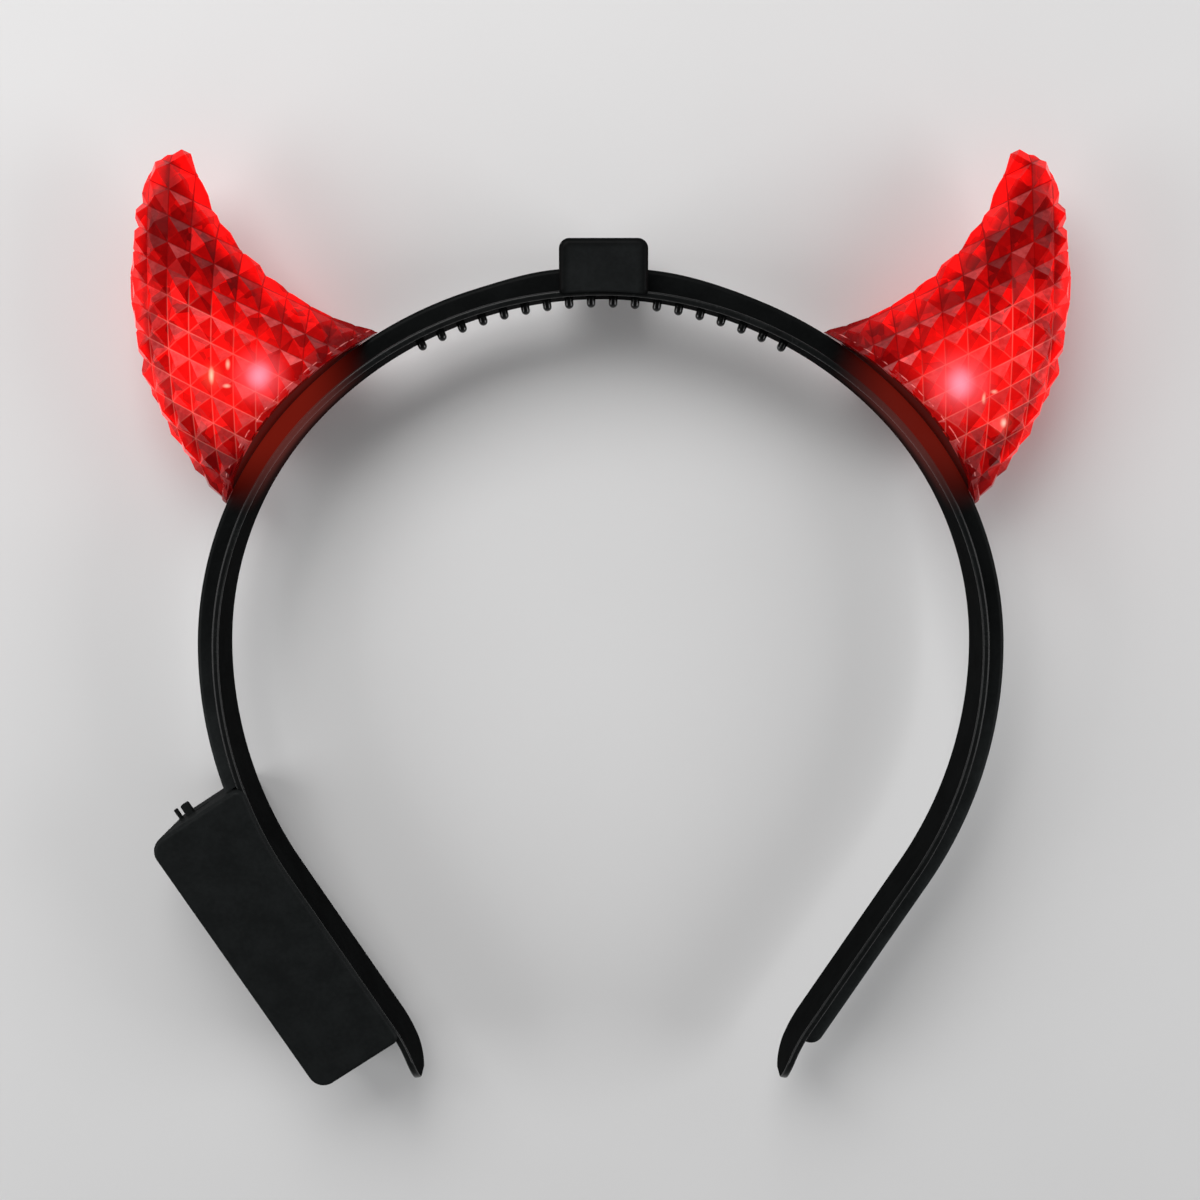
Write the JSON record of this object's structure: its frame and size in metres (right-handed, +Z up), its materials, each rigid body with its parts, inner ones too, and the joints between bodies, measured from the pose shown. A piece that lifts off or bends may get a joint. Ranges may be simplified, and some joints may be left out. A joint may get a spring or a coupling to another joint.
{
  "type": "light-up horns headband",
  "caption": "Sprung black plastic headband with studded translucent red horns lit by lamps, a wire rail, a crown box and a battery box with a slide switch.",
  "frame": {"origin": "under the middle of the headband, on the surface it lies on", "axes": "+X across the hoop to the right, +Y from the leg tips towards the crown and horn tips, +Z up from the surface, from the back of the head to the front"},
  "size_m": [0.1668, 0.1694, 0.0259],
  "materials": {
    "black_plastic": "satin moulded black plastic",
    "red_plastic": "glossy translucent red plastic, lit from inside",
    "lamp": "clear moulded lamp, lit"
  },
  "bodies": {
    "headband": {"band": "black_plastic", "wire_cover_left": "black_plastic", "wire_cover_right": "black_plastic", "crown_box": "black_plastic", "battery_box": "black_plastic", "battery_cover": "black_plastic", "horn_right": "red_plastic", "horn_seat_right": "black_plastic", "led_right": "lamp", "horn_left": "red_plastic", "horn_seat_left": "black_plastic", "led_left": "lamp"},
    "switch": {"switch_knob": "black_plastic"}
  },
  "joints": [
    {"name": "switch_slide", "type": "slide", "parent": "headband", "child": "switch", "axis": [0.8368, 0.5476, 0], "range_m": [0, 0.003]}
  ]
}
